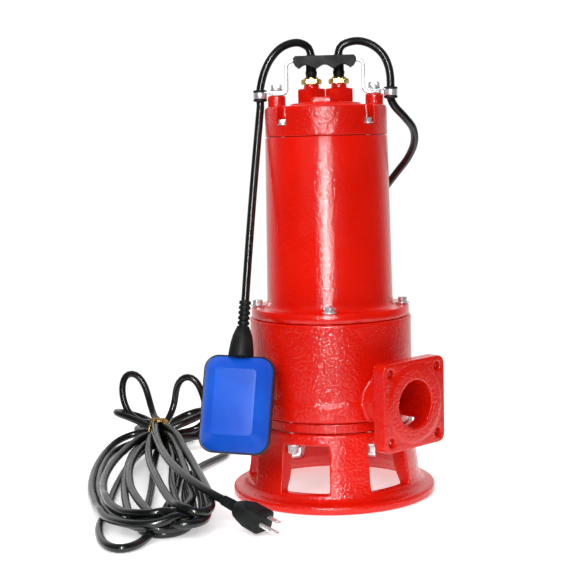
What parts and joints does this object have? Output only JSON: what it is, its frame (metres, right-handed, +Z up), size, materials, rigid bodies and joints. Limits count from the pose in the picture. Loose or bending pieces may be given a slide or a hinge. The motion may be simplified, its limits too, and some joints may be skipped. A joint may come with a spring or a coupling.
{
  "type": "submersible sewage pump",
  "caption": "Upright submersible pump with a motor over a volute, a flared slotted stand, a square side discharge flange, a carrying handle, a tethered float and a tied mains lead.",
  "frame": {"origin": "where the pump's axis meets the floor", "axes": "+Z up along the pump's axis, +X the way the discharge flange faces"},
  "size_m": [0.5543, 0.4827, 0.5457],
  "materials": {
    "red_paint": "glossy orange-peel enamel over cast iron",
    "cast_iron": "as cast, primed dark",
    "stainless": "bright",
    "carbon_steel": "ground",
    "electrical_steel": "varnished laminations",
    "copper": "enamelled copper wire, varnished",
    "brass": "plain turned",
    "black_rubber": "matte, slightly shiny where it bends",
    "blue_plastic": "moulded, satin",
    "black_plastic": "moulded, satin",
    "grey_plastic": "moulded",
    "tie_wire": "paper-covered wire"
  },
  "bodies": {
    "pump": {"bearing_bracket": "cast_iron", "clip_band_left": "stainless", "clip_band_right": "stainless", "clip_bush_left": "black_rubber", "clip_bush_right": "black_rubber", "cord_tie": "tie_wire", "cover_bolt_1": "stainless", "cover_bolt_2": "stainless", "cover_bolt_3": "stainless", "cover_bolt_4": "stainless", "flange_bolt_1": "stainless", "flange_bolt_2": "stainless", "flange_bolt_3": "stainless", "flange_bolt_4": "stainless", "float_cord_arc": "black_rubber", "gland_body_left": "red_paint", "gland_body_right": "red_paint", "gland_nut_left": "brass", "gland_nut_right": "brass", "gland_sleeve_left": "black_rubber", "gland_sleeve_right": "black_rubber", "handle_grip": "black_rubber", "handle_screw_left": "stainless", "handle_screw_right": "stainless", "handle_strap": "stainless", "lower_bearing": "carbon_steel", "motor_housing": "red_paint", "plug_blade_1": "brass", "plug_blade_2": "brass", "plug_body": "black_plastic", "plug_ground_pin": "brass", "power_cord_ears": "black_rubber", "power_cord_end": "black_rubber", "power_cord_hank": "black_rubber", "power_cord_run": "black_rubber", "run_capacitor": "grey_plastic", "seal_plate": "cast_iron", "stand": "red_paint", "stand_stud_1": "stainless", "stand_stud_2": "stainless", "stand_stud_3": "stainless", "stand_stud_4": "stainless", "stand_stud_5": "stainless", "stand_stud_6": "stainless", "stator_core": "electrical_steel", "suction_plate": "red_paint", "top_cover": "red_paint", "upper_bearing": "carbon_steel", "volute": "red_paint", "winding": "copper"},
    "rotor": {"shaft": "carbon_steel", "impeller": "cast_iron", "cutter": "stainless", "rotor_core": "electrical_steel", "seal_rotating_head": "black_rubber"},
    "float": {"float_front_shell": "blue_plastic", "float_rear_shell": "black_plastic", "float_boot": "black_rubber", "float_tilt_switch": "grey_plastic", "float_cord_tether": "black_rubber"}
  },
  "joints": [
    {"name": "rotor_spin", "type": "hinge", "parent": "pump", "child": "rotor", "pos_m": [0, 0, 0], "axis": [0, 0, 1], "continuous": true},
    {"name": "float_swing", "type": "hinge", "parent": "pump", "child": "float", "pos_m": [-0.05487, -0.05487, 0.466], "axis": [-0.8862, -0.4633, 0], "range_deg": [0, 70]}
  ]
}
